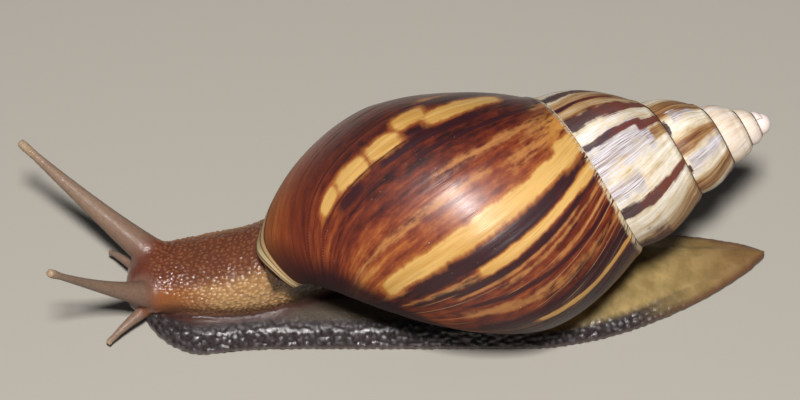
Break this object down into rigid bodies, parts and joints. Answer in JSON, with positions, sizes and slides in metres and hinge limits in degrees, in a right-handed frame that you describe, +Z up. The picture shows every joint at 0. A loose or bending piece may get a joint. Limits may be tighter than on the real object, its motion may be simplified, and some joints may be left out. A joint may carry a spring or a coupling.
{
  "type": "giant african land snail",
  "caption": "Crawling giant African land snail with a tall spiral shell, long raised feelers and a flat foot, as a still life-size model.",
  "frame": {"origin": "on the flat sole, under the middle of the body", "axes": "+X from the head towards the tail along the body, +Y towards the snail's right side, +Z up"},
  "size_m": [0.11, 0.036, 0.0391],
  "materials": {
    "shell_brown": "glossy red-brown shell with dark and golden growth streaks",
    "shell_cream": "worn cream shell with maroon streaks",
    "shell_lip": "pale thin shell edge",
    "neck_flesh": "wet red-brown skin with pale tubercles",
    "foot_flesh": "wet dark grey-purple skin with pearly bumps",
    "tail_flesh": "wet olive-tan skin",
    "feeler_flesh": "smooth translucent pinkish-grey skin",
    "eye": "wet black"
  },
  "bodies": {
    "root": {"shell_body_whorl": "shell_brown", "shell_lip": "shell_lip", "shell_penultimate_whorl": "shell_cream", "shell_third_whorl": "shell_cream", "shell_fourth_whorl": "shell_cream", "shell_tip": "shell_cream", "mantle": "neck_flesh", "foot_front": "foot_flesh", "foot_middle": "foot_flesh", "tail_base": "tail_flesh", "tail_tip": "tail_flesh", "head": "neck_flesh", "neck": "neck_flesh", "trunk": "neck_flesh", "upper_feeler_left": "feeler_flesh", "upper_feeler_right": "feeler_flesh", "eye_left": "eye", "eye_right": "eye", "lower_feeler_left": "feeler_flesh", "lower_feeler_right": "feeler_flesh"}
  },
  "joints": []
}
